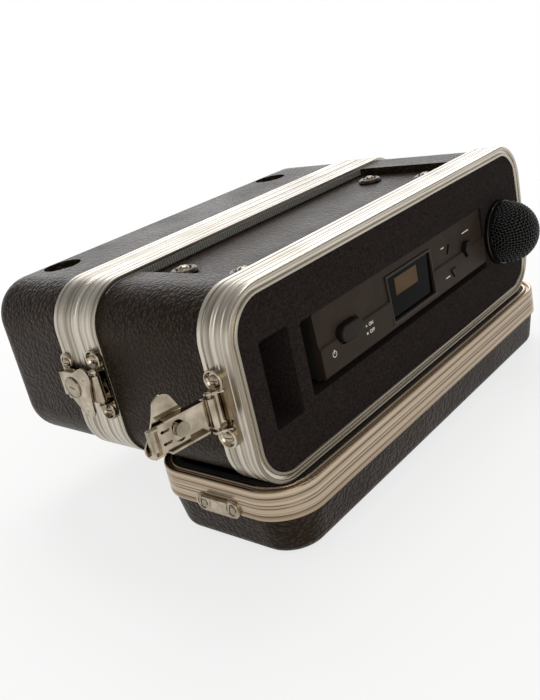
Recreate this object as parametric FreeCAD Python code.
import FreeCAD
import Part
import math
import os

# A carrying case for a wireless microphone set. It stands on its own front lid, which lies on its back
# with its rim up. All lengths are millimetres and all angles are degrees.
# The pieces are drawn in the case's frame: X runs along the case with zero at its middle, Y runs from the
# front rim towards the rear, and Z runs up from the case's underside. The last step moves them all so that
# the origin is the middle of the face that the front lid stands on.

# The case as a whole: its corners, and the depths of its lids. Its body is as large as what it holds.
corner_radius = 31.0
rear_lid_deep = 107.8
front_lid_deep = 50.0
front_lid_right = 7.0
front_lid_ahead = 9.0

# Aluminium valances round the four rims
band_thick = 2.0
front_band_wide = 25.2
rear_band_wide = 20.8
front_lid_band_wide = 21.2
rear_lid_band_wide = 23.2
rim_wide = 7.6
rim_deep = 6.3
bead_radius = 1.4
valley_deep = 1.9
groove_wide = 0.9
groove_deep = 0.45
groove_place_shares = (0.24, 0.47, 0.57, 0.82)
edge_chamfer = 0.5

# Moulded shells
shell_wall = 3.2
rear_lid_draft_angle = 0.4
rear_lid_edge_radius = 21.0
front_lid_draft_angle = 9.0
front_lid_edge_radius = 8.5
recess_left_margin = 44.5
recess_right_margin = 60.5
recess_deep = 6.0
recess_ahead_gap = 1.8
recess_rear_gap = 2.0
recess_corner_radius = 4.0
dimple_radius = 14.0
dimple_deep = 5.0
dimple_left_margin = 54.0
dimple_right_margin = 70.0
dimple_from_back = 33.0

# Seals and the pad of the front lid
seal_wide = 4.7
seal_deep = 5.0
seal_gap = 0.2
pad_thick = 5.0
pad_gap = 1.0

# Screws, all with the same shank
shank_radius = 1.5
shank_clearance = 0.1
pan_head_radius = 3.4
pan_head_high = 1.7
screw_shoulder_share = 0.83
driver_slot_wide = 0.8
driver_slot_deep = 0.9

# Cup washers and raised-head screws in the recessed top panel
washer_radius = 9.6
washer_high = 3.2
washer_wall = 1.0
washer_bore = 4.6
washer_left_margin = 16.2
washer_right_margin = 26.5
washer_front_margin = 10.0
washer_rear_margin = 25.7
raised_head_high = 4.0

# Draw latches. Along runs from the rim towards the lid, out is away from the case's side.
front_latch_below_middle = 2.0
rear_latch_past_rim = 2.0
lug_radius = 7.0
lug_half_spacing = 18.0
lug_along = -16.0
lug_high = 4.0
lug_floor = 1.9
lug_bead = 0.8
base_thick = 1.5
ear_half_gap = 11.4
ear_thick = 1.2
ear_base_front = -11.0
ear_base_rear = -22.3
pin_along = -18.5
pin_out = 6.5
pin_radius = 1.5
pin_clearance = 0.05
pin_head_radius = 2.3
pin_head_thick = 0.8
ear_top_radius = 3.0
knuckle_radius = 3.1
knuckle_half_wide = 9.0
running_gap = 0.3

arm_half_wide = 10.0
arm_sheet = 1.3
arm_flange_high = 5.1
arm_reach = 32.0
arm_flange_start = 6.0
arm_edge_radius = 0.9
hub_reach = 21.5

hook_start = 12.5
hook_box_long = 6.6
hook_side_gap = 0.3
hook_guide_slot_long = 6.0
hook_guide_slot_wide = 1.8
hook_guide_offset = 3.6
hook_travel = 6.0

wing_thick = 1.4
wing_gap = 0.4
wing_lobe_radius = 6.6
wing_lobe_distance = 17.1
wing_lobe_angle = 43.0
wing_hub_radius = 8.2
wing_waist_sag = 1.2
wing_dimple_radius = 2.0
wing_dimple_deep = 1.0

hub_radius = 7.6
hub_high = 1.2
hub_rim = 1.1
hub_dish = 0.5
hub_slot_long = 6.0
cam_shaft_radius = 3.0
cam_disc_radius = 3.2
cam_slot_clearance = 0.8
cam_head_radius = 4.5
cam_head_thick = 1.1

front_latch_open_angle = 100.0
front_wing_turn = 153.0
rear_wing_turn = 13.0

# Keepers on the lids' ends
keeper_thick = 1.4
keeper_ear_radius = 6.5
keeper_ear_along = 17.0
keeper_ear_half_spacing = 12.5
keeper_lip_along = 10.9
keeper_lip_thick = 1.4
keeper_lip_gap = 0.4
keeper_lip_half_long = 11.0
keeper_bead_outer = 5.8
keeper_bead_inner = 4.3
keeper_bead_high = 0.8

# Carrying handle under the case
handle_half_wide = 60.0
handle_reach = 30.0
handle_swing_gap = 2.0
bail_radius = 3.0
bail_bend_radius = 9.0
bail_hinge_bend = 4.5
grip_radius = 7.0
grip_bend_gap = 1.2
grip_end_radius = 2.5
grip_bore_gap = 0.05
bracket_wide = 10.0
bracket_deep = 30.0
bracket_foot_thick = 2.5
bracket_boss_radius = 6.0
bracket_screw_offset = 10.5

# Foam insert
foam_face_back = 1.2
foam_edge_gap = 0.2
foam_slab_deep = 21.8
foam_past_receiver = 6.8
foam_rear_gap = 12.2
foam_under_bay = 39.8
foam_above_bay = 37.3
foam_block_gap = 0.3
foam_block_radius = 20.0
slot_left_margin = 23.0
slot_wide = 26.0
slot_deep = 60.0
slot_floor = 35.6
slot_high = 56.3
slot_bay_wall = 11.5
slot_corner_radius = 2.0

# Receiver and its place in the foam
receiver_wide = 222.0
receiver_high = 44.0
receiver_deep = 118.0
bay_left_gap = 12.5
bay_right_gap = 3.0
bay_top_gap = 0.5
foot_high = 4.4
foot_radius = 6.0
foot_inset = 14.0
panel_thick = 5.5
panel_corner_radius = 1.5
panel_lean = 2.2
panel_step = 1.4
panel_step_share = 0.47
panel_chin = 1.6
metal_sheet = 1.2
window_wide = 61.0
window_high = 35.0
window_from_left = 81.0
window_above_base = 3.8
window_thick = 1.6
display_wide = 30.5
display_high = 12.8
display_from_left = 12.0
display_from_top = 5.4
display_thick = 2.5
board_thick = 1.6
board_margin = 4.0
button_gap = 0.3
button_travel = 1.5
button_board_gap = 0.3
flange_gap = 0.1
button_flange_wide = 0.9
button_flange_thick = 0.8
power_from_left = 32.0
power_above_base = 21.7
power_long = 24.0
power_high = 11.0
power_proud = 2.8
power_edge_radius = 1.1
power_moat = 1.5
power_moat_deep = 2.4
arrow_from_right = 52.6
arrow_half = 4.0
arrow_rise = 6.5
arrow_up_above_base = 29.5
arrow_down_above_base = 10.5
arrow_proud = 1.0
set_from_right = 28.0
set_above_base = 21.5
set_radius = 6.0
set_proud = 2.0
set_moat = 1.6
set_moat_deep = 2.0
jack_radius = 5.0
jack_bore = 3.0
jack_long = 7.0
jack_nut_radius = 7.0
jack_nut_thick = 2.0
jack_spacing = 24.0
jack_count = 4

# Handheld microphone, lying in the foam with its head out of the front
mic_bay_wall = 0.5
mic_right_margin = 19.5
mic_height = 60.5
mic_head_radius = 25.0
mic_head_front = 31.5
mic_band_front = 4.5
mic_band_wide = 5.0
mic_band_proud = 0.6
mic_band_groove = 0.7
mic_head_base = 20.0
mic_head_base_radius = 18.4
mic_mesh_thick = 1.2
mic_body_radius = 17.5
mic_body_end_radius = 13.5
mic_body_long = 168.0
mic_body_wall = 2.0
mic_tail_radius = 11.0
mic_tail_long = 10.0
mic_capsule_radius = 12.0
mic_capsule_long = 14.0
mic_stem_radius = 5.0
mic_hole_gap = 0.4

# Overrun of every cutting tool past the face that it cuts
overrun = 2.0

X = FreeCAD.Vector(1, 0, 0)
Y = FreeCAD.Vector(0, 1, 0)
Z = FreeCAD.Vector(0, 0, 1)
ORIGIN = FreeCAD.Vector(0, 0, 0)
FULL_TURN = 360.0
HALF_TURN = 180.0
QUARTER_TURN = 90.0

# Sizes of the body that follow from what it holds, measured from its left end, front rim and underside
foam_deep = receiver_deep + foam_past_receiver
case_deep = foam_face_back + foam_deep + foam_rear_gap
bay_floor = foam_under_bay
receiver_base = bay_floor + foot_high
bay_roof = receiver_base + receiver_high + bay_top_gap
case_high = bay_roof + foam_above_bay
mic_head_hole_radius = mic_head_radius + mic_band_proud + mic_hole_gap
bay_left_margin = slot_left_margin + slot_wide + slot_bay_wall
bay_wide = bay_left_gap + receiver_wide + bay_right_gap
mic_left_margin = bay_left_margin + bay_wide + mic_bay_wall
case_wide = mic_left_margin + 2 * mic_head_hole_radius + mic_right_margin
slot_left = slot_left_margin - case_wide / 2
bay_left = bay_left_margin - case_wide / 2
receiver_left = bay_left + bay_left_gap
receiver_right = receiver_left + receiver_wide
receiver_middle = (receiver_left + receiver_right) / 2
power_middle = receiver_left + power_from_left
window_left = receiver_left + window_from_left
arrow_middle = receiver_right - arrow_from_right
set_middle = receiver_right - set_from_right
mic_middle = case_wide / 2 - mic_right_margin - mic_head_hole_radius

stand_face_middle = FreeCAD.Vector(front_lid_right, case_high / 2 - front_lid_ahead, -front_lid_deep)


def vector(x, y, z):
    return FreeCAD.Vector(x, y, z)


def block(low, high):
    size = high - low
    return Part.makeBox(size.x, size.y, size.z, low)


def joined(solids):
    result = solids[0]
    if len(solids) > 1:
        result = solids[0].fuse(solids[1:])
    return result.removeSplitter()


def edges_along(shape, axis):
    """Straight edges of a shape that run along an axis."""
    found = []
    for edge in shape.Edges:
        first = edge.Vertexes[0].Point
        last = edge.Vertexes[-1].Point
        run = last - first
        if run.Length > 0 and abs(run.dot(axis)) > run.Length * math.cos(math.radians(1)):
            found.append(edge)
    return found


def turned(points, centre, axis):
    """A solid of revolution from (radius, height) points; a point pair is an arc's middle and end."""
    wire = outline(points)
    solid = Part.Face(wire).revolve(ORIGIN, Z, FULL_TURN)
    solid.Placement = FreeCAD.Placement(centre, FreeCAD.Rotation(Z, axis))
    return solid


def section_place(point):
    return vector(point[0], 0, point[1])


def outline(points, place=section_place):
    """A closed wire through placed points, where a pair of points is an arc's middle and end."""
    edges = []
    here = points[0]
    for step in points[1:] + [points[0]]:
        if isinstance(step[0], tuple):
            edges.append(Part.Arc(place(here), place(step[0]), place(step[1])).toShape())
            here = step[1]
        elif step != here:
            edges.append(Part.LineSegment(place(here), place(step)).toShape())
            here = step
    return Part.Wire(edges)


def peg(radius, start, end):
    """A cylinder from one point to another."""
    run = end - start
    return Part.makeCylinder(radius, run.Length, start, run)


# Rims, shells and seals are drawn with their rim at zero and their depth along +Z, then placed.

front_rim = FreeCAD.Placement(vector(0, 0, case_high / 2), FreeCAD.Rotation(X, -QUARTER_TURN))
rear_rim = FreeCAD.Placement(vector(0, case_deep, case_high / 2), FreeCAD.Rotation(X, QUARTER_TURN))
rear_lid_rim = FreeCAD.Placement(vector(0, case_deep, case_high / 2), FreeCAD.Rotation(X, -QUARTER_TURN))
front_lid_rim = FreeCAD.Placement(
    vector(stand_face_middle.x, stand_face_middle.y, 0), FreeCAD.Rotation(X, HALF_TURN))


def placed(shape, placement):
    result = shape.copy()
    result.Placement = placement.multiply(result.Placement)
    return result


def rounded_wire(inset, depth):
    """The case's outline, drawn in by an inset, at a depth behind the rim."""
    half_wide = case_wide / 2 - inset
    half_high = case_high / 2 - inset
    radius = corner_radius - inset
    flat_x = half_wide - radius
    flat_y = half_high - radius
    edges = []
    for turn in range(4):
        angle = turn * QUARTER_TURN
        spin = FreeCAD.Rotation(Z, angle)
        side_x = -1 if turn in (1, 2) else 1
        side_y = -1 if turn in (2, 3) else 1
        centre = vector(side_x * flat_x, side_y * flat_y, depth)
        first = centre + spin.multVec(vector(radius, 0, 0))
        middle_turn = FreeCAD.Rotation(Z, angle + QUARTER_TURN / 2)
        middle = centre + middle_turn.multVec(vector(radius, 0, 0))
        last = centre + spin.multVec(vector(0, radius, 0))
        if edges:
            edges.append(Part.LineSegment(edges[-1].Vertexes[-1].Point, first).toShape())
        edges.append(Part.Arc(first, middle, last).toShape())
    edges.append(Part.LineSegment(edges[-1].Vertexes[-1].Point, edges[0].Vertexes[0].Point).toShape())
    return Part.Wire(edges)


def prism(inset, start, end):
    return Part.Face(rounded_wire(inset, start)).extrude(vector(0, 0, end - start))


def ring_of(points):
    """A profile of (inset, depth) points carried once round the case's outline."""
    flat_x = case_wide / 2 - corner_radius
    flat_y = case_high / 2 - corner_radius
    section = [
        ((corner_radius - step[0][0], step[0][1]), (corner_radius - step[1][0], step[1][1]))
        if isinstance(step[0], tuple) else (corner_radius - step[0], step[1]) for step in points]
    face = Part.Face(outline(section))
    solids = []
    corners = [(flat_x, flat_y), (-flat_x, flat_y), (-flat_x, -flat_y), (flat_x, -flat_y)]
    for turn in range(4):
        corner = vector(corners[turn][0], corners[turn][1], 0)
        before = vector(corners[turn - 1][0], corners[turn - 1][1], 0)
        start = face.copy()
        start.Placement = FreeCAD.Placement(corner, FreeCAD.Rotation(Z, turn * QUARTER_TURN))
        solids.append(start.revolve(corner, Z, QUARTER_TURN))
        solids.append(start.extrude(before - corner))
    return joined(solids)


def valance(band_wide):
    """Extruded aluminium rim: two beads with a valley on its face, and a grooved band over the shell."""
    inner_bead = rim_wide - 2 * bead_radius
    points = [
        (0, bead_radius),
        ((bead_radius, 0), (2 * bead_radius, bead_radius)),
        (2 * bead_radius, valley_deep),
        (inner_bead, valley_deep),
        (inner_bead, bead_radius),
        ((inner_bead + bead_radius, 0), (rim_wide, bead_radius)),
        (rim_wide, rim_deep),
        (band_thick, rim_deep),
        (band_thick, band_wide),
        (edge_chamfer, band_wide),
        (0, band_wide - edge_chamfer)]
    for share in reversed(groove_place_shares):
        middle = share * band_wide
        points.append((0, middle + groove_wide / 2))
        points.append((groove_deep, middle))
        points.append((0, middle - groove_wide / 2))
    return ring_of(points)


def seal():
    """Rubber gasket that lines the inside of a lid's rim."""
    outer = rim_wide + seal_gap
    inner = outer + seal_wide
    points = [
        (outer, 0),
        (inner - seal_wide / 4, 0),
        (inner, seal_wide / 4),
        (inner, seal_deep),
        (outer, seal_deep)]
    return ring_of(points)


# Case body

recess_front = front_band_wide + recess_ahead_gap
recess_rear = case_deep - rear_band_wide - recess_rear_gap
recess_left = recess_left_margin - case_wide / 2
recess_right = case_wide / 2 - recess_right_margin
recess_middle = (recess_left + recess_right) / 2
recess_floor_top = case_high - band_thick - recess_deep
recess_floor_bottom = band_thick + recess_deep


def recess_tool(grow, floor, roof):
    """The box of a recessed panel, grown by a wall, from its floor to past the shell's surface."""
    low = vector(recess_left - grow, recess_front - grow, min(floor, roof))
    high = vector(recess_right + grow, recess_rear + grow, max(floor, roof))
    tool = block(low, high)
    return tool.makeFillet(recess_corner_radius + grow, edges_along(tool, Z))


def washer_places():
    places = []
    for y in (recess_rear - washer_rear_margin, recess_front + washer_front_margin):
        for x in (recess_left + washer_left_margin, recess_right - washer_right_margin):
            places.append(vector(x, y, recess_floor_top))
    return places


handle_pivot_y = recess_front + handle_reach + grip_radius + handle_swing_gap
handle_pivot_z = recess_floor_bottom - grip_radius - running_gap
bracket_middles = (recess_middle - handle_half_wide, recess_middle + handle_half_wide)


def bracket_screw_places():
    places = []
    for x in bracket_middles:
        for side in (-1, 1):
            places.append(vector(x, handle_pivot_y + side * bracket_screw_offset, recess_floor_bottom))
    return places


def body_shell():
    outer = placed(prism(band_thick, rim_deep, case_deep - rim_deep), front_rim)
    start = rim_deep - overrun
    end = case_deep - rim_deep + overrun
    cavity = placed(prism(band_thick + shell_wall, start, end), front_rim)
    top = case_high + overrun
    bottom = -overrun
    grown_top = recess_tool(shell_wall, recess_floor_top - shell_wall, top)
    grown_bottom = recess_tool(shell_wall, recess_floor_bottom + shell_wall, bottom)
    cavity = cavity.cut(grown_top).cut(grown_bottom)
    shell = outer.cut(cavity)
    shell = shell.cut(recess_tool(0, recess_floor_top, top)).cut(recess_tool(0, recess_floor_bottom, bottom))
    for place in washer_places():
        shell = shell.cut(screw_hole(place, Z))
    for place in bracket_screw_places():
        shell = shell.cut(screw_hole(place, -Z))
    return shell.removeSplitter()


def screw_hole(place, outward):
    reach = shell_wall + band_thick + overrun
    return peg(shank_radius + shank_clearance, place - outward * reach, place + outward * overrun)


def foam_insert():
    """Grey foam: a slab that fills the rim, and a lower block behind it between the recessed panels."""
    slab_inset = rim_wide + foam_edge_gap
    slab_end = foam_face_back + foam_slab_deep
    slab = placed(prism(slab_inset, foam_face_back, slab_end), front_rim)
    low_z = recess_floor_bottom + shell_wall + foam_block_gap
    half_wide = case_wide / 2 - slab_inset
    rear = block(
        vector(-half_wide, slab_end - overrun, low_z),
        vector(half_wide, foam_face_back + foam_deep, case_high - low_z))
    rear = rear.makeFillet(foam_block_radius, edges_along(rear, Y))
    foam = joined([slab, rear])
    foam = foam.cut(slot_tool()).cut(bay_tool()).cut(mic_hole_tool())
    return foam


def slot_tool():
    low = vector(slot_left, foam_face_back - overrun, slot_floor)
    high = vector(slot_left + slot_wide, foam_face_back + slot_deep, slot_floor + slot_high)
    tool = block(low, high)
    return tool.makeFillet(slot_corner_radius, edges_along(tool, Y))


def bay_tool():
    low = vector(bay_left, foam_face_back - overrun, bay_floor)
    high = vector(bay_left + bay_wide, foam_face_back + foam_deep + overrun, bay_roof)
    tool = block(low, high)
    return tool.makeFillet(slot_corner_radius, edges_along(tool, Y))


def mic_axis(depth):
    return vector(mic_middle, depth, mic_height)


def mic_hole_tool():
    """Stepped hole: wide for the head's rear cone, narrow for the body."""
    base_hole = mic_head_base_radius + mic_hole_gap
    body_hole = mic_body_radius + mic_hole_gap
    step = mic_head_base + mic_hole_gap
    end = foam_face_back + foam_deep + overrun
    points = [
        (0, -overrun),
        (mic_head_hole_radius, -overrun),
        (mic_head_hole_radius, mic_band_wide),
        (base_hole, step),
        (body_hole, step),
        (body_hole, end),
        (0, end)]
    return turned(points, mic_axis(0), Y)


def screw(place, outward, length, head_radius, head_high):
    """Screw with a domed, slotted head whose underside is at a place and whose shank runs inward."""
    slant = math.sqrt(0.5)
    points = [
        (0, -length),
        (shank_radius, -length),
        (shank_radius, 0),
        (head_radius, 0),
        (head_radius, head_high / 3),
        ((head_radius * slant, head_high * screw_shoulder_share), (0, head_high))]
    body = turned(points, place, outward)
    slot = block(
        vector(-head_radius, -driver_slot_wide / 2, head_high - driver_slot_deep),
        vector(head_radius, driver_slot_wide / 2, head_high + overrun))
    slot.Placement = FreeCAD.Placement(place, FreeCAD.Rotation(Z, outward))
    return body.cut(slot)


def cup_washers():
    """Pressed cup washers: a dished ring on the panel with a rolled outer edge."""
    points = [
        (shank_radius + shank_clearance, 0),
        (washer_radius - washer_wall, 0),
        (washer_radius, washer_wall),
        ((washer_radius - washer_wall / 2, (washer_high + washer_wall) / 2),
         (washer_bore + washer_wall * 2, washer_high)),
        (washer_bore + washer_wall, washer_high - washer_wall / 2),
        (washer_bore, washer_wall),
        (shank_radius + shank_clearance, washer_wall)]
    return [turned(points, place, Z) for place in washer_places()]


def top_screws():
    solids = []
    for place in washer_places():
        seat = place + Z * washer_wall
        solids.append(screw(seat, Z, washer_wall + shell_wall, washer_bore - running_gap, raised_head_high))
    return solids


# Latches and keepers are drawn in a frame of their own: X runs along the pull from the rim towards the lid,
# Y out from the side, and Z across. An arm and what it carries are drawn from the hinge pin's axis.

rear_latch_height = case_high / 2
front_latch_height = rear_latch_height - front_latch_below_middle
arm_top = knuckle_radius
web_bottom = arm_top - arm_sheet
flange_bottom = arm_top - arm_flange_high
hook_top = web_bottom - running_gap
hook_half_wide = arm_half_wide - arm_sheet - hook_side_gap
claw_start = keeper_lip_along + keeper_lip_thick + running_gap - pin_along
keeper_lip_high = pin_out + flange_bottom - keeper_lip_gap
wing_bottom = arm_top + wing_gap
wing_top = wing_bottom + wing_thick
cam_offset = hook_travel / 2
hub_middle = FreeCAD.Vector(hub_reach, 0, 0)


def frame_at(origin, along, out):
    across = along.cross(out)
    matrix = FreeCAD.Matrix(
        along.x, out.x, across.x, origin.x,
        along.y, out.y, across.y, origin.y,
        along.z, out.z, across.z, origin.z)
    return FreeCAD.Placement(matrix)


latch_frames = {}
keeper_frames = {}
for side_name, side in (("left", -1), ("right", 1)):
    out = X * side
    side_x = side * case_wide / 2
    latch_frames["front_" + side_name] = frame_at(vector(side_x, 0, front_latch_height), -Y, out)
    rear_middle = vector(side_x, case_deep + rear_latch_past_rim, rear_latch_height)
    latch_frames["rear_" + side_name] = frame_at(rear_middle, Y, out)
    lid_end = vector(stand_face_middle.x + side_x, stand_face_middle.y - front_latch_below_middle, 0)
    keeper_frames["front_" + side_name] = frame_at(lid_end, -Z, out)
    keeper_frames["rear_" + side_name] = latch_frames["rear_" + side_name]

pin_frame = FreeCAD.Placement(vector(pin_along, pin_out, 0), FreeCAD.Rotation())


def arm_frame(name):
    """Where a latch's arm is: the front arms stand open as in use, and the rear ones are closed."""
    open_angle = front_latch_open_angle if name.startswith("front") else 0
    swing = FreeCAD.Placement(ORIGIN, FreeCAD.Rotation(Z, open_angle))
    return latch_frames[name].multiply(pin_frame).multiply(swing)


def wing_turn(name):
    return front_wing_turn if name.startswith("front") else rear_wing_turn


def hub_frame(name):
    spin = FreeCAD.Placement(hub_middle, FreeCAD.Rotation(Y, -wing_turn(name)))
    return arm_frame(name).multiply(spin)


def lug_places():
    return [vector(lug_along, 0, side * lug_half_spacing) for side in (-1, 1)]


def keeper_ear_places():
    return [vector(keeper_ear_along, 0, side * keeper_ear_half_spacing) for side in (-1, 1)]


def latch_base():
    """Base plate with two dished lugs and two ears that hold the hinge pin."""
    low = vector(lug_along - lug_radius, 0, -lug_half_spacing)
    high = vector(lug_along + lug_radius, base_thick, lug_half_spacing)
    solids = [block(low, high)]
    crown = lug_radius - 2 * lug_bead
    for place in lug_places():
        points = [
            (shank_radius + shank_clearance, 0),
            (lug_radius, 0),
            (lug_radius, lug_high - lug_bead),
            ((lug_radius - lug_bead, lug_high), (crown, lug_high - lug_bead)),
            (crown - lug_bead, lug_floor),
            (shank_radius + shank_clearance, lug_floor)]
        solids.append(turned(points, place, Y))
    for side in (-1, 1):
        start = side * ear_half_gap if side > 0 else -ear_half_gap - ear_thick
        points = [
            (ear_base_rear, 0),
            (ear_base_front, 0),
            (ear_base_front, base_thick),
            (pin_along + ear_top_radius, pin_out),
            ((pin_along, pin_out + ear_top_radius), (pin_along - ear_top_radius, pin_out)),
            (ear_base_rear, base_thick)]
        solids.append(sheet(points, start, ear_thick))
    base = joined(solids)
    reach = ear_half_gap + ear_thick + overrun
    pin_axis = vector(pin_along, pin_out, 0)
    return base.cut(peg(pin_radius + pin_clearance, pin_axis - Z * reach, pin_axis + Z * reach)).cut(
        joined_tools([peg(shank_radius + shank_clearance, place - Y * overrun, place + Y * lug_high)
                      for place in lug_places()]))


def sheet(points, start, thick):
    """A flat plate across the latch, from (along, out) points."""
    wire = outline(points, lambda point: vector(point[0], point[1], start))
    return Part.Face(wire).extrude(vector(0, 0, thick))


def joined_tools(tools):
    return tools[0].fuse(tools[1:])


def hinge_pin():
    half = ear_half_gap + ear_thick
    pin = peg(pin_radius, vector(0, 0, -half), vector(0, 0, half))
    heads = []
    for side in (-1, 1):
        ear_face = Z * (side * half)
        heads.append(peg(pin_head_radius, ear_face, ear_face + Z * (side * pin_head_thick)))
    return joined([pin] + heads)


def latch_arm():
    """Folded channel with a rolled knuckle round the pin and a bearing hole for the cam."""
    channel = block(vector(0, flange_bottom, -arm_half_wide), vector(arm_reach, arm_top, arm_half_wide))
    outer_edges = [edge for edge in edges_along(channel, X) if edge.BoundBox.YMin > web_bottom]
    channel = channel.makeFillet(arm_edge_radius, outer_edges)
    inner_half = arm_half_wide - arm_sheet
    inside = block(
        vector(-overrun, flange_bottom - overrun, -inner_half),
        vector(arm_reach + overrun, web_bottom, inner_half))
    before_flanges = block(
        vector(-overrun, flange_bottom - overrun, -arm_half_wide - overrun),
        vector(arm_flange_start, web_bottom, arm_half_wide + overrun))
    knuckle = peg(knuckle_radius, vector(0, 0, -knuckle_half_wide), vector(0, 0, knuckle_half_wide))
    arm = joined([channel.cut(inside).cut(before_flanges), knuckle])
    reach = Z * (arm_half_wide + overrun)
    pin_hole = peg(pin_radius + pin_clearance, reach * -1, reach)
    cam_hole = peg(cam_shaft_radius + pin_clearance, hub_middle, hub_middle + Y * (arm_top + overrun))
    return arm.cut(pin_hole).cut(cam_hole)


def latch_hook():
    """Sliding plate with a claw box at its end and a cross slot that the cam's disc works in."""
    plate = block(
        vector(hook_start, hook_top - arm_sheet, -hook_half_wide),
        vector(claw_start + hook_box_long, hook_top, hook_half_wide))
    box = block(
        vector(claw_start, flange_bottom, -hook_half_wide),
        vector(claw_start + hook_box_long, hook_top, hook_half_wide))
    hollow = block(
        vector(claw_start + arm_sheet, flange_bottom - overrun, -hook_half_wide + arm_sheet),
        vector(claw_start + hook_box_long - arm_sheet, hook_top - arm_sheet, hook_half_wide - arm_sheet))
    hook = joined([plate, box]).cut(hollow)
    slot_middle = hub_reach - cam_offset
    half_along = cam_disc_radius + cam_slot_clearance
    hook = hook.cut(long_hole(slot_middle, 0, half_along, cam_offset - running_gap, Z))
    guide_middle = slot_middle + half_along + running_gap * 4 + hook_guide_slot_long / 2
    for side in (-1, 1):
        half_run = (hook_guide_slot_long - hook_guide_slot_wide) / 2
        across = side * hook_guide_offset
        hook = hook.cut(long_hole(guide_middle, across, hook_guide_slot_wide / 2, half_run, X))
    return hook


def long_hole(along, across, radius, half_run, run_axis):
    """A tool with round ends that cuts through the hook's plate."""
    middle = vector(along, 0, across)
    low_end = middle - run_axis * half_run
    high_end = middle + run_axis * half_run
    tools = [peg(radius, end, end + Y * (hook_top + overrun)) for end in (low_end, high_end)]
    side = X if run_axis == Z else Z
    low = low_end - side * radius
    high = high_end + side * radius + Y * (hook_top + overrun)
    return joined_tools(tools + [block(low, high)])


def latch_wing():
    """Butterfly wing: a hub disc and two lobes, which point back over the base when it is locked."""
    angle = math.radians(wing_lobe_angle)
    lobe_x = wing_lobe_distance * math.cos(angle)
    lobe_z = wing_lobe_distance * math.sin(angle)
    tangent = angle + math.acos((wing_hub_radius - wing_lobe_radius) / wing_lobe_distance)

    def on_circle(centre_x, centre_z, radius, turn):
        return (-(centre_x + radius * math.cos(turn)), centre_z + radius * math.sin(turn))

    points = [
        on_circle(0, 0, wing_hub_radius, tangent),
        on_circle(lobe_x, lobe_z, wing_lobe_radius, tangent),
        (on_circle(lobe_x, lobe_z, wing_lobe_radius, tangent / 2),
         on_circle(lobe_x, lobe_z, wing_lobe_radius, 0)),
        ((wing_waist_sag - lobe_x - wing_lobe_radius, 0),
         on_circle(lobe_x, -lobe_z, wing_lobe_radius, 0)),
        (on_circle(lobe_x, -lobe_z, wing_lobe_radius, -tangent / 2),
         on_circle(lobe_x, -lobe_z, wing_lobe_radius, -tangent)),
        on_circle(0, 0, wing_hub_radius, -tangent)]
    edges = outline(points, lambda point: vector(point[0], wing_bottom, point[1])).Edges[:-1]
    hub_back = Part.Arc(
        edges[-1].Vertexes[-1].Point,
        vector(wing_hub_radius, wing_bottom, 0),
        edges[0].Vertexes[0].Point).toShape()
    wing = Part.Face(Part.Wire(edges + [hub_back])).extrude(vector(0, wing_thick, 0))
    wing = wing.cut(peg(cam_shaft_radius, ORIGIN, Y * (wing_top + overrun)))
    for side in (-1, 1):
        dimple = Part.makeSphere(wing_dimple_radius * 2)
        rise = wing_top - wing_dimple_deep + wing_dimple_radius * 2
        dimple.translate(vector(-lobe_x, rise, side * lobe_z))
        wing = wing.cut(dimple)
    return wing


def latch_cam():
    """Dished hub, shaft, eccentric disc and the riveted head that keeps the hook on."""
    points = [
        (0, wing_top),
        (hub_radius, wing_top),
        (hub_radius, wing_top + hub_high - hub_dish),
        ((hub_radius - hub_rim / 2, wing_top + hub_high),
         (hub_radius - hub_rim, wing_top + hub_high - hub_dish)),
        (0, wing_top + hub_high - hub_dish)]
    hub = turned(points, ORIGIN, Y)
    shaft_end = hook_top + running_gap / 3
    shaft = peg(cam_shaft_radius, Y * shaft_end, Y * (wing_top + hub_high - hub_dish))
    disc_middle = vector(-cam_offset, 0, 0)
    disc_bottom = hook_top - arm_sheet - running_gap
    disc_top = shaft_end + running_gap / 3
    disc = peg(cam_disc_radius, disc_middle + Y * disc_bottom, disc_middle + Y * disc_top)
    head = peg(cam_head_radius, Y * (disc_bottom - cam_head_thick), Y * disc_bottom)
    slot = block(
        vector(-hub_slot_long / 2, wing_top + hub_dish / 2, -driver_slot_wide / 2),
        vector(hub_slot_long / 2, wing_top + hub_high + overrun, driver_slot_wide / 2))
    return joined([hub, shaft, disc, head]).cut(slot)


def keeper():
    """Keeper plate with two screw ears and a folded lip that the claw draws on."""
    flat_end = keeper_ear_along + keeper_ear_radius
    solids = [block(
        vector(keeper_lip_along, 0, -keeper_ear_half_spacing),
        vector(flat_end, keeper_thick, keeper_ear_half_spacing))]
    for place in keeper_ear_places():
        solids.append(peg(keeper_ear_radius, place, place + Y * keeper_thick))
        crown = (keeper_bead_outer + keeper_bead_inner) / 2
        points = [
            (keeper_bead_inner, keeper_thick / 2),
            (keeper_bead_outer, keeper_thick / 2),
            (keeper_bead_outer, keeper_thick),
            ((crown, keeper_thick + keeper_bead_high), (keeper_bead_inner, keeper_thick))]
        solids.append(turned(points, place, Y))
    solids.append(block(
        vector(keeper_lip_along, 0, -keeper_lip_half_long),
        vector(keeper_lip_along + keeper_lip_thick, keeper_lip_high, keeper_lip_half_long)))
    plate = joined(solids)
    hole = shank_radius + shank_clearance
    for place in keeper_ear_places():
        plate = plate.cut(peg(hole, place - Y * overrun, place + Y * keeper_lip_high))
    return plate


def side_screws(frame, places, seat):
    """Screws that go through a latch piece, the valance and the shell on one side."""
    length = seat + band_thick + shell_wall
    solids = []
    for place in places:
        fastener = screw(place + Y * seat, Y, length, pan_head_radius, pan_head_high)
        solids.append(placed(fastener, frame))
    return solids


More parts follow.
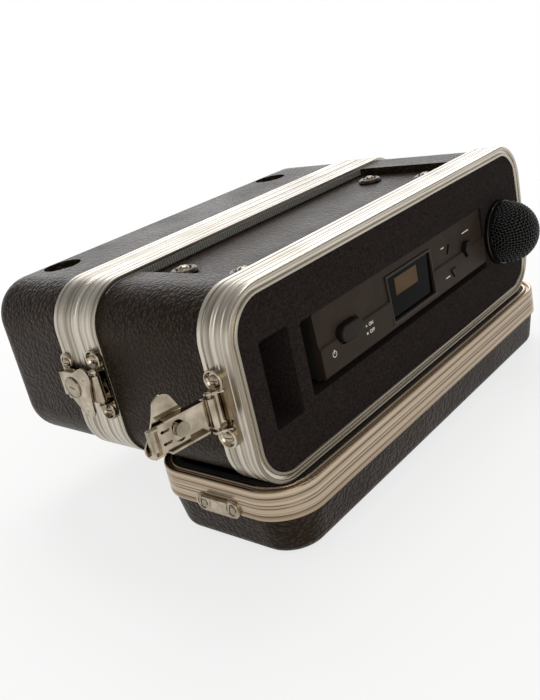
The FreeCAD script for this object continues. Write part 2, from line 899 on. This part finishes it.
def drilled(shape, frames, places):
    """A shape with the screw holes of the latch pieces in some frames cut through its sides."""
    reach = band_thick + shell_wall + overrun
    for frame in frames:
        for place in places:
            tool = peg(shank_radius + shank_clearance, place - Y * reach, place + Y * overrun)
            shape = shape.cut(placed(tool, frame))
    return shape


# Lids

def lid_shell(band_wide, deep, draft_angle, edge_radius):
    """Moulded lid: straight under its valance, then drawn in by its draft to a flat, round-edged face."""
    straight_end = band_wide + edge_chamfer
    draw = (deep - straight_end) * math.tan(math.radians(draft_angle))
    outer = tapered(band_thick, rim_deep, straight_end, deep, draw, edge_radius)
    inner_inset = band_thick + shell_wall
    inner_radius = edge_radius - shell_wall
    inner = tapered(inner_inset, rim_deep - overrun, straight_end, deep - shell_wall, draw, inner_radius)
    return outer, inner


def tapered(inset, start, straight_end, deep, draw, edge_radius):
    straight = prism(inset, start, straight_end)
    drawn = Part.makeLoft([rounded_wire(inset, straight_end), rounded_wire(inset + draw, deep)], True, True)
    floor_edges = [edge for edge in drawn.Edges if edge.BoundBox.ZMin > deep - edge_chamfer / 2]
    return straight.fuse(drawn.makeFillet(edge_radius, floor_edges)).removeSplitter()


def front_lid_shell():
    outer, inner = lid_shell(
        front_lid_band_wide, front_lid_deep, front_lid_draft_angle, front_lid_edge_radius)
    shell = placed(outer.cut(inner), front_lid_rim)
    frames = [keeper_frames["front_left"], keeper_frames["front_right"]]
    return drilled(shell, frames, keeper_ear_places())


def front_lid_pad():
    draw = (front_lid_deep - front_lid_band_wide) * math.tan(math.radians(front_lid_draft_angle))
    inset = band_thick + shell_wall + draw + front_lid_edge_radius - shell_wall + pad_gap
    floor = front_lid_deep - shell_wall
    return placed(prism(inset, floor - pad_thick, floor), front_lid_rim)


dimple_y = case_deep + rear_lid_deep - dimple_from_back


def dimple_places():
    floor = case_high - band_thick - dimple_deep
    left = dimple_left_margin - case_wide / 2
    right = case_wide / 2 - dimple_right_margin
    return [vector(x, dimple_y, floor) for x in (left, right)]


def rear_lid_shell():
    outer, inner = lid_shell(rear_lid_band_wide, rear_lid_deep, rear_lid_draft_angle, rear_lid_edge_radius)
    outer = placed(outer, rear_lid_rim)
    inner = placed(inner, rear_lid_rim)
    for place in dimple_places():
        inner = inner.cut(peg(dimple_radius + shell_wall, place - Z * shell_wall, place + Z * dimple_radius))
    shell = outer.cut(inner)
    for place in dimple_places():
        shell = shell.cut(peg(dimple_radius, place, place + Z * dimple_radius)).cut(screw_hole(place, Z))
    frames = [keeper_frames["rear_left"], keeper_frames["rear_right"]]
    return drilled(shell, frames, keeper_ear_places())


# Handle

handle_middle = FreeCAD.Vector(recess_middle, handle_pivot_y, handle_pivot_z)
leg_half_gap = handle_half_wide - bracket_wide / 2 - running_gap - bail_hinge_bend
grip_half_long = leg_half_gap - bail_bend_radius - grip_bend_gap


def handle_bail():
    """Bent steel rod: two stubs in the brackets, two legs and the bar that carries the grip."""
    stub_end = handle_half_wide + bracket_wide / 2
    corners = [
        vector(stub_end, 0, 0),
        vector(leg_half_gap, 0, 0),
        vector(leg_half_gap, 0, -handle_reach),
        vector(-leg_half_gap, 0, -handle_reach),
        vector(-leg_half_gap, 0, 0),
        vector(-stub_end, 0, 0)]
    radii = [bail_hinge_bend, bail_bend_radius, bail_bend_radius, bail_hinge_bend]
    edges = []
    here = corners[0]
    for index, radius in enumerate(radii):
        corner = corners[index + 1]
        back = (corners[index] - corner).normalize()
        ahead = (corners[index + 2] - corner).normalize()
        start = corner + back * radius
        end = corner + ahead * radius
        centre = corner + (back + ahead) * radius
        middle = centre - (back + ahead).normalize() * radius
        edges.append(Part.LineSegment(here, start).toShape())
        edges.append(Part.Arc(start, middle, end).toShape())
        here = end
    edges.append(Part.LineSegment(here, corners[-1]).toShape())
    section = Part.Wire(Part.makeCircle(bail_radius, corners[0], X))
    rod = Part.Wire(edges).makePipeShell([section], True, True)
    rod.translate(handle_middle)
    return rod


def handle_grip():
    bore = bail_radius + grip_bore_gap
    rounded = grip_radius - grip_end_radius
    corner = grip_end_radius * (1 - math.sqrt(0.5))
    points = [
        (bore, -grip_half_long),
        (rounded, -grip_half_long),
        ((grip_radius - corner, corner - grip_half_long), (grip_radius, grip_end_radius - grip_half_long)),
        (grip_radius, grip_half_long - grip_end_radius),
        ((grip_radius - corner, grip_half_long - corner), (rounded, grip_half_long)),
        (bore, grip_half_long)]
    return turned(points, handle_middle - Z * handle_reach, X)


def handle_brackets():
    """Two brackets screwed to the recessed bottom panel, each with a bored boss for the bail's stub."""
    solids = []
    for x in bracket_middles:
        middle = vector(x, handle_pivot_y, 0)
        half = vector(bracket_wide / 2, bracket_deep / 2, 0)
        top = Z * recess_floor_bottom
        foot = block(middle - half + top - Z * bracket_foot_thick, middle + half + top)
        pivot = vector(x, handle_pivot_y, handle_pivot_z)
        boss = peg(bracket_boss_radius, pivot - X * (bracket_wide / 2), pivot + X * (bracket_wide / 2))
        neck_half = vector(bracket_wide / 2, bracket_boss_radius, 0)
        neck = block(pivot - neck_half, middle + neck_half + top)
        bracket = joined([foot, boss, neck])
        bore = peg(bail_radius + grip_bore_gap, pivot - X * bracket_wide, pivot + X * bracket_wide)
        solids.append(bracket.cut(bore))
    reach = Z * (bracket_foot_thick + overrun)
    hole = shank_radius + shank_clearance
    tools = [peg(hole, place - reach, place + reach) for place in bracket_screw_places()]
    return [solid.cut(joined_tools(tools)) for solid in solids]


def case_screws():
    """Pan-head screws of the latch bases and of the handle's brackets."""
    solids = []
    for frame in latch_frames.values():
        solids += side_screws(frame, lug_places(), lug_floor)
    for place in bracket_screw_places():
        seat = place - Z * bracket_foot_thick
        solids.append(screw(seat, -Z, bracket_foot_thick + shell_wall, pan_head_radius, pan_head_high))
    return solids


def rear_lid_screws():
    solids = []
    for name in ("rear_left", "rear_right"):
        solids += side_screws(keeper_frames[name], keeper_ear_places(), keeper_thick)
    for place in dimple_places():
        solids.append(screw(place, Z, shell_wall, pan_head_radius, pan_head_high))
    return solids


def front_lid_screws():
    solids = []
    for name in ("front_left", "front_right"):
        solids += side_screws(keeper_frames[name], keeper_ear_places(), keeper_thick)
    return solids


# Receiver

receiver_top = receiver_base + receiver_high
panel_step_height = receiver_base + receiver_high * panel_step_share
window_base = receiver_base + window_above_base
display_left = window_left + display_from_left
display_base = window_base + window_high - display_from_top - display_high
flange_front = panel_thick + flange_gap
board_front = flange_front + button_flange_thick + button_travel + button_board_gap


def upright(points, start, end):
    """A prism along Y from (x, height) points."""
    wire = outline(points, lambda point: vector(point[0], start, point[1]))
    return Part.Face(wire).extrude(vector(0, end - start, 0))


def stadium(middle_x, middle_z, long, high):
    """Points of a slot-shaped outline that lies along X."""
    half = (long - high) / 2
    radius = high / 2
    return [
        (middle_x - half, middle_z - radius),
        (middle_x + half, middle_z - radius),
        ((middle_x + half + radius, middle_z), (middle_x + half, middle_z + radius)),
        (middle_x - half, middle_z + radius),
        ((middle_x - half - radius, middle_z), (middle_x - half, middle_z - radius))]


def polygon(middle_x, middle_z, radius, corners, first_angle):
    points = []
    for corner in range(corners):
        angle = math.radians(first_angle + corner * FULL_TURN / corners)
        points.append((middle_x + radius * math.cos(angle), middle_z + radius * math.sin(angle)))
    return points


def arrow(base, grow, pointing):
    """Points of a small triangle that points up or down, grown outwards by a gap."""
    middle_z = receiver_base + base
    tip = pointing * (arrow_rise / 2 + grow * 2)
    foot = -pointing * (arrow_rise / 2 + grow)
    half = arrow_half + grow * 2
    return [
        (arrow_middle - half, middle_z + foot),
        (arrow_middle + half, middle_z + foot),
        (arrow_middle, middle_z + tip)]


power_height = receiver_base + power_above_base
lean_share = (receiver_base + arrow_up_above_base - panel_step_height) / (receiver_top - panel_step_height)
up_arrow_face = panel_step + (panel_lean - panel_step) * lean_share
set_height = receiver_base + set_above_base


def button_outlines(grow):
    """Outline of each button, grown by a gap, and how far the button stands proud."""
    hexagon = polygon(set_middle, set_height, set_radius + grow, 6, 0)
    return {
        "power_button": (
            stadium(power_middle, power_height, power_long + 2 * grow, power_high + 2 * grow), power_proud),
        "up_button": (arrow(arrow_up_above_base, grow, 1), arrow_proud - up_arrow_face),
        "down_button": (arrow(arrow_down_above_base, grow, -1), arrow_proud),
        "set_button": (hexagon, set_proud)}


def receiver_panel():
    """Moulded front panel: upright below its step, leaning back above it, with wells for the controls."""
    points = [
        (panel_chin, receiver_base),
        (0, receiver_base + panel_chin),
        (0, panel_step_height),
        (panel_step, panel_step_height + panel_step),
        (panel_lean, receiver_top),
        (panel_thick, receiver_top),
        (panel_thick, receiver_base)]
    wire = outline(points, lambda point: vector(receiver_left, point[0], point[1]))
    panel = Part.Face(wire).extrude(vector(receiver_wide, 0, 0))
    bounds = block(
        vector(receiver_left, -overrun, receiver_base),
        vector(receiver_right, panel_thick + overrun, receiver_top))
    panel = panel.common(bounds.makeFillet(panel_corner_radius, edges_along(bounds, Y)))
    well = block(
        vector(window_left, -overrun, window_base),
        vector(window_left + window_wide, panel_lean + window_thick, window_base + window_high))
    behind = block(
        vector(display_left, -overrun, display_base),
        vector(display_left + display_wide, panel_thick + overrun, display_base + display_high))
    panel = panel.cut(well).cut(behind)
    power_moat_points = stadium(
        power_middle, power_height, power_long + 2 * power_moat, power_high + 2 * power_moat)
    panel = panel.cut(upright(power_moat_points, -overrun, power_moat_deep))
    set_moat_points = polygon(set_middle, set_height, set_radius + set_moat, 6, 0)
    panel = panel.cut(upright(set_moat_points, -overrun, set_moat_deep))
    for points, _ in button_outlines(button_gap).values():
        panel = panel.cut(upright(points, -overrun, panel_thick + overrun))
    posts = []
    for x in (receiver_left + board_margin * 2, receiver_right - board_margin * 2):
        for z in (receiver_base + board_margin * 2, receiver_top - board_margin * 2):
            start = vector(x, panel_thick - overrun / 2, z)
            posts.append(peg(jack_bore / 2, start, vector(x, board_front, z)))
    return joined([panel] + posts)


def receiver_button(name):
    """A button through the panel with a flange behind it that keeps it in."""
    points, proud = button_outlines(0)[name]
    flange_points = button_outlines(button_gap + button_flange_wide)[name][0]
    cap = upright(points, -proud, flange_front + button_flange_thick)
    if name == "power_button":
        front_edges = [edge for edge in cap.Edges if edge.BoundBox.YMax < running_gap - proud]
        cap = cap.makeFillet(power_edge_radius, front_edges)
    flange = upright(flange_points, flange_front, flange_front + button_flange_thick)
    return joined([cap, flange])


def display_window():
    plate = block(
        vector(window_left, panel_lean, window_base),
        vector(window_left + window_wide, panel_lean + window_thick, window_base + window_high))
    opening = block(
        vector(display_left, 0, display_base),
        vector(display_left + display_wide, panel_thick, display_base + display_high))
    return plate.cut(opening)


def display():
    front = panel_lean + window_thick / 4
    return block(
        vector(display_left, front, display_base),
        vector(display_left + display_wide, front + display_thick, display_base + display_high))


def receiver_boards():
    """Control board behind the front panel, and the main board on the chassis's posts."""
    control = block(
        vector(receiver_left + board_margin, board_front, receiver_base + board_margin),
        vector(receiver_right - board_margin, board_front + board_thick, receiver_top - board_margin))
    height = receiver_base + metal_sheet + foot_high
    main = block(
        vector(receiver_left + board_margin, board_front + board_thick + board_margin, height),
        vector(receiver_right - board_margin, receiver_deep - board_margin * 4, height + board_thick))
    return [control, main]


def jack_places():
    places = []
    for index in range(jack_count):
        offset = (index - (jack_count - 1) / 2) * jack_spacing
        places.append(vector(receiver_middle + offset, receiver_deep, receiver_base + receiver_high / 2))
    return places


def receiver_chassis():
    """Folded sheet tray, open in front and on top, with posts for the main board and holes for the jacks."""
    outer = block(
        vector(receiver_left, panel_thick, receiver_base),
        vector(receiver_right, receiver_deep, receiver_top - metal_sheet))
    inner = block(
        vector(receiver_left + metal_sheet, panel_thick - overrun, receiver_base + metal_sheet),
        vector(receiver_right - metal_sheet, receiver_deep - metal_sheet, receiver_top + overrun))
    tray = outer.cut(inner)
    posts = []
    for x in (receiver_left + foot_inset, receiver_right - foot_inset):
        for y in (board_front + foot_inset, receiver_deep - foot_inset * 2):
            start = vector(x, y, receiver_base + metal_sheet / 2)
            posts.append(peg(jack_bore, start, vector(x, y, receiver_base + metal_sheet + foot_high)))
    tray = joined([tray] + posts)
    for place in jack_places():
        tray = tray.cut(peg(jack_radius, place - Y * overrun, place + Y * overrun))
    return tray


def receiver_cover():
    """Folded sheet cover whose skirts fit inside the tray."""
    plate = block(
        vector(receiver_left, panel_thick, receiver_top - metal_sheet),
        vector(receiver_right, receiver_deep, receiver_top))
    skirt = foot_radius
    outer = block(
        vector(receiver_left + metal_sheet, panel_thick + board_thick, receiver_top - metal_sheet - skirt),
        vector(receiver_right - metal_sheet, receiver_deep - metal_sheet, receiver_top - metal_sheet / 2))
    inner = block(
        vector(receiver_left + 2 * metal_sheet, 0, receiver_top - metal_sheet - skirt - overrun),
        vector(receiver_right - 2 * metal_sheet, receiver_deep, receiver_top - metal_sheet))
    return joined([plate, outer.cut(inner)])


def receiver_feet():
    solids = []
    for x in (receiver_left + foot_inset, receiver_right - foot_inset):
        for y in (foot_inset, receiver_deep - foot_inset):
            foot = vector(x, y, bay_floor)
            solids.append(peg(foot_radius, foot, foot + Z * foot_high))
    return solids


def receiver_jacks():
    """Round jacks with hexagon nuts on the receiver's back."""
    solids = []
    for place in jack_places():
        barrel = peg(jack_radius, place - Y * (jack_long + metal_sheet), place + Y * jack_long)
        nut_points = polygon(place.x, place.z, jack_nut_radius, 6, 0)
        nut = upright(nut_points, receiver_deep, receiver_deep + jack_nut_thick)
        bore = peg(jack_bore, place - Y * jack_long, place + Y * (jack_long + overrun))
        solids.append(joined([barrel, nut]).cut(bore))
    return solids


# Microphone

mic_band_end = mic_band_wide - mic_band_front
mic_dome_centre = mic_head_radius - mic_head_front


def mic_grille():
    """Woven wire head: round front, straight waist and a cone down to the body's collar."""
    inner_radius = mic_head_radius - mic_mesh_thick
    slant = math.sqrt(0.5)
    points = [
        (0, -mic_head_front),
        ((mic_head_radius * slant, mic_dome_centre - mic_head_radius * slant),
         (mic_head_radius, mic_dome_centre)),
        (mic_head_radius, mic_band_end),
        (mic_head_base_radius, mic_head_base),
        (mic_head_base_radius - mic_mesh_thick, mic_head_base),
        (inner_radius, mic_band_end),
        (inner_radius, mic_dome_centre),
        ((inner_radius * slant, mic_dome_centre - inner_radius * slant),
         (0, mic_mesh_thick - mic_head_front))]
    return turned(points, mic_axis(0), Y)


def mic_band():
    """Twin ring round the widest part of the head."""
    outer = mic_head_radius + mic_band_proud
    middle = mic_band_end - mic_band_wide / 2
    points = [
        (mic_head_radius, -mic_band_front),
        (outer, -mic_band_front),
        (outer, middle - mic_band_groove),
        (outer - mic_band_proud / 2, middle),
        (outer, middle + mic_band_groove),
        (outer, mic_band_end),
        (mic_head_radius, mic_band_end)]
    return turned(points, mic_axis(0), Y)


def mic_body():
    """Tapered tube with a closed front, the capsule's stem and a plain tail cap."""
    end = mic_head_base + mic_body_long
    points = [
        (0, mic_capsule_base),
        (mic_stem_radius, mic_capsule_base),
        (mic_stem_radius, mic_head_base),
        (mic_body_radius, mic_head_base),
        (mic_body_end_radius, end),
        (mic_tail_radius, end),
        (mic_tail_radius, end + mic_tail_long),
        (0, end + mic_tail_long),
        (0, end),
        (mic_body_end_radius - mic_body_wall, end - mic_body_wall),
        (mic_body_radius - mic_body_wall, mic_head_base + mic_body_wall),
        (0, mic_head_base + mic_body_wall)]
    return turned(points, mic_axis(0), Y)


mic_capsule_base = mic_head_base / 2


def mic_capsule():
    low = mic_axis(mic_capsule_base - mic_capsule_long)
    return peg(mic_capsule_radius, low, mic_axis(mic_capsule_base))


# Every piece under its node's name

pieces = {
    "front_lid_shell": front_lid_shell(),
    "front_lid_valance": drilled(
        placed(valance(front_lid_band_wide), front_lid_rim),
        [keeper_frames["front_left"], keeper_frames["front_right"]], keeper_ear_places()),
    "front_lid_seal": placed(seal(), front_lid_rim),
    "front_lid_pad": front_lid_pad(),
    "front_lid_screws": front_lid_screws(),
    "body_shell": drilled(body_shell(), latch_frames.values(), lug_places()),
    "front_valance": drilled(
        placed(valance(front_band_wide), front_rim),
        [latch_frames["front_left"], latch_frames["front_right"]], lug_places()),
    "rear_valance": drilled(
        placed(valance(rear_band_wide), rear_rim),
        [latch_frames["rear_left"], latch_frames["rear_right"]], lug_places()),
    "foam_insert": foam_insert(),
    "top_cup_washers": cup_washers(),
    "top_screws": top_screws(),
    "handle_brackets": handle_brackets(),
    "case_screws": case_screws(),
    "handle_bail": handle_bail(),
    "handle_grip": handle_grip(),
    "rear_lid_shell": rear_lid_shell(),
    "rear_lid_valance": drilled(
        placed(valance(rear_lid_band_wide), rear_lid_rim),
        [keeper_frames["rear_left"], keeper_frames["rear_right"]], keeper_ear_places()),
    "rear_lid_seal": placed(seal(), rear_lid_rim),
    "rear_lid_screws": rear_lid_screws(),
    "receiver_panel": receiver_panel(),
    "receiver_chassis": receiver_chassis(),
    "receiver_cover": receiver_cover(),
    "receiver_boards": receiver_boards(),
    "receiver_feet": receiver_feet(),
    "receiver_jacks": receiver_jacks(),
    "display_window": display_window(),
    "display": display(),
    "mic_grille": mic_grille(),
    "mic_band": mic_band(),
    "mic_body": mic_body(),
    "mic_capsule": mic_capsule()}

for button_name in button_outlines(0):
    pieces[button_name] = receiver_button(button_name)

for name, frame in keeper_frames.items():
    pieces["keeper_" + name] = placed(keeper(), frame)

pins = []
for name, frame in latch_frames.items():
    extended = hook_travel * wing_turn(name) / HALF_TURN
    slid = FreeCAD.Placement(vector(extended, 0, 0), FreeCAD.Rotation())
    pieces["latch_base_" + name] = placed(latch_base(), frame)
    pieces["latch_arm_" + name] = placed(latch_arm(), arm_frame(name))
    pieces["latch_hook_" + name] = placed(latch_hook(), arm_frame(name).multiply(slid))
    pieces["latch_wing_" + name] = placed(latch_wing(), hub_frame(name))
    pieces["latch_cam_" + name] = placed(latch_cam(), hub_frame(name))
    pins.append(placed(hinge_pin(), frame.multiply(pin_frame)))
pieces["latch_pins"] = pins

os.makedirs("parts", exist_ok=True)
for name, piece in pieces.items():
    shape = Part.makeCompound(piece) if isinstance(piece, list) else piece
    shape = shape.copy()
    shape.translate(stand_face_middle * -1)
    shape.exportStep("parts/" + name + ".step")
